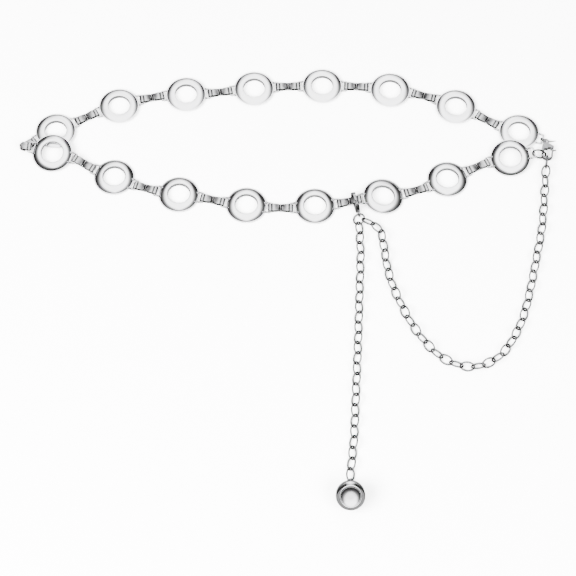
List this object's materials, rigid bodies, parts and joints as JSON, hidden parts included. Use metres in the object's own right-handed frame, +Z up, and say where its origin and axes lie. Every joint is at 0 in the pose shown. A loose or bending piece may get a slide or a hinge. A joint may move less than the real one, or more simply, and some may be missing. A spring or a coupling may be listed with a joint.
{
  "type": "waist chain",
  "caption": "Metal waist chain laid flat in a folded loop: crowned rings on folded strip connectors, lobster clasps, a swag chain and a tail with a round drop.",
  "frame": {"origin": "on the surface that the chain lies on, under the centre of the whole object's box", "axes": "+X along the belt's two rows towards the clasped end, +Y from the drop towards the far row, +Z up from the surface"},
  "size_m": [0.3322, 0.2981, 0.0168],
  "materials": {
    "polished_metal": "polished",
    "strip_metal": "polished",
    "clasp_metal": "polished",
    "chain_metal": "polished"
  },
  "bodies": {
    "belt": {"near_ring_1": "polished_metal", "near_ring_2": "polished_metal", "near_ring_3": "polished_metal", "near_ring_4": "polished_metal", "near_ring_5": "polished_metal", "near_ring_6": "polished_metal", "near_ring_7": "polished_metal", "near_ring_8": "polished_metal", "far_ring_1": "polished_metal", "far_ring_2": "polished_metal", "far_ring_3": "polished_metal", "far_ring_4": "polished_metal", "far_ring_5": "polished_metal", "far_ring_6": "polished_metal", "far_ring_7": "polished_metal", "far_ring_8": "polished_metal", "near_link_1": "strip_metal", "near_link_2": "strip_metal", "near_link_3": "strip_metal", "near_link_4": "strip_metal", "near_link_5": "strip_metal", "near_link_6": "strip_metal", "near_link_7": "strip_metal", "far_link_1": "strip_metal", "far_link_2": "strip_metal", "far_link_3": "strip_metal", "far_link_4": "strip_metal", "far_link_5": "strip_metal", "far_link_6": "strip_metal", "far_link_7": "strip_metal", "fold_link": "strip_metal", "end_clasp": "clasp_metal", "end_eye_ring": "chain_metal", "end_ring": "chain_metal", "swag_clasp": "clasp_metal", "swag_ring": "chain_metal", "swag_chain": "chain_metal", "tail_chain": "chain_metal", "drop": "polished_metal", "drop_ring": "chain_metal"},
    "end_gate": {"end_lever": "clasp_metal"},
    "swag_gate": {"swag_lever": "clasp_metal"}
  },
  "joints": [
    {"name": "end_gate_hinge", "type": "hinge", "parent": "belt", "child": "end_gate", "pos_m": [0.16324, 0.08965, 0.00226], "axis": [-0.0194, -0.1378, -0.9903], "range_deg": [0, 12], "stiffness_Nm_per_rad": 0.01, "springref_deg": -11.46},
    {"name": "swag_gate_hinge", "type": "hinge", "parent": "belt", "child": "swag_gate", "pos_m": [0.04183, 0.04847, 0.00605], "axis": [-0.9659, -0.2588, 0], "range_deg": [0, 12], "stiffness_Nm_per_rad": 0.01, "springref_deg": -11.46}
  ]
}
